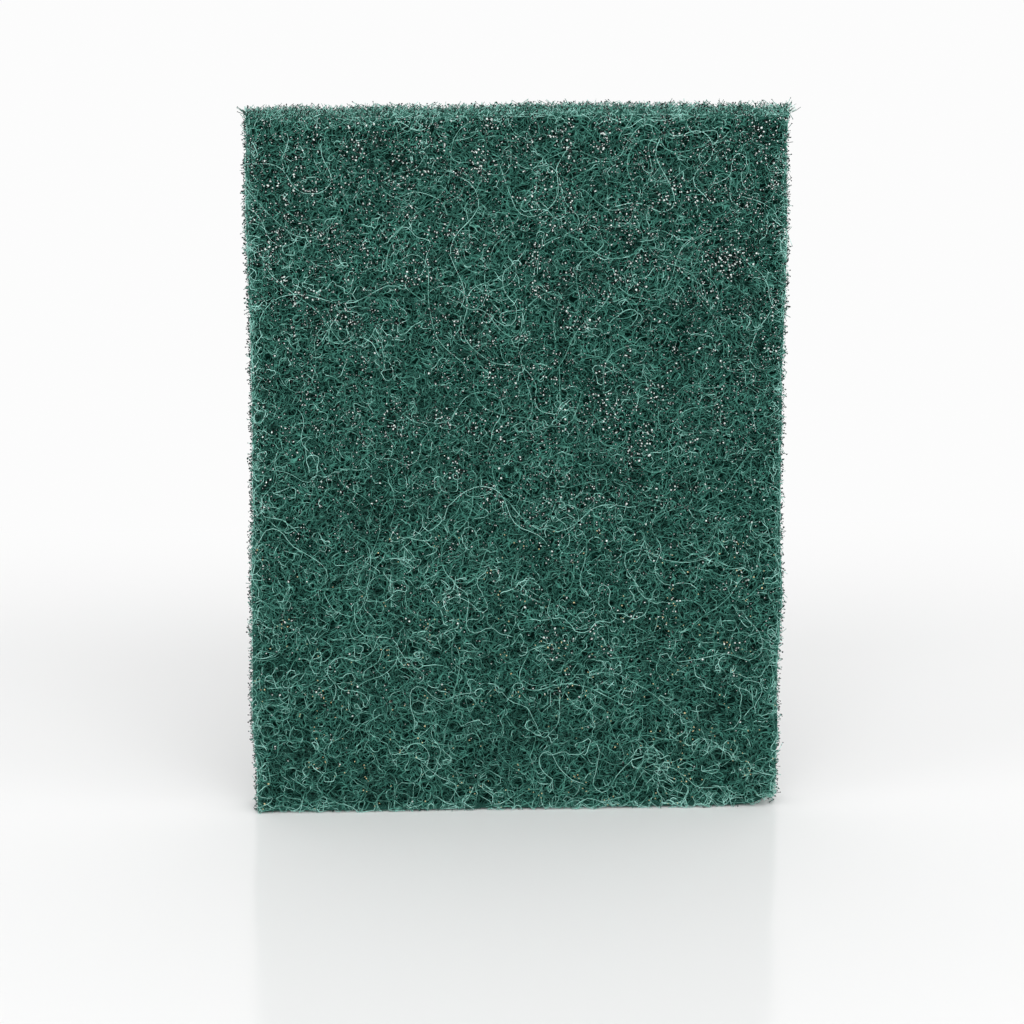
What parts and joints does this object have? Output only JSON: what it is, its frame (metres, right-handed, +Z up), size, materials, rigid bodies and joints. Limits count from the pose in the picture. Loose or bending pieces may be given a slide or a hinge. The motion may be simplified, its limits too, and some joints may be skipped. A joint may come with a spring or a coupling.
{
  "type": "nylon scouring pad",
  "caption": "Flat rectangular hand pad of curled, resin-bonded nylon web for scouring; both faces work, and it stands on a short cut edge.",
  "frame": {"origin": "middle of the short cut edge that the pad stands on", "axes": "+Z up along the pad's length, X along its width, Y through its thickness, with the front face looking along -Y"},
  "size_m": [0.1108, 0.008, 0.1499],
  "materials": {
    "nylon_web": "matt curled fibres with a thin coat of cured resin",
    "abrasive_grit": "tiny glassy grains set in dark resin"
  },
  "bodies": {
    "root": {"scouring_pad": "nylon_web"}
  },
  "joints": []
}
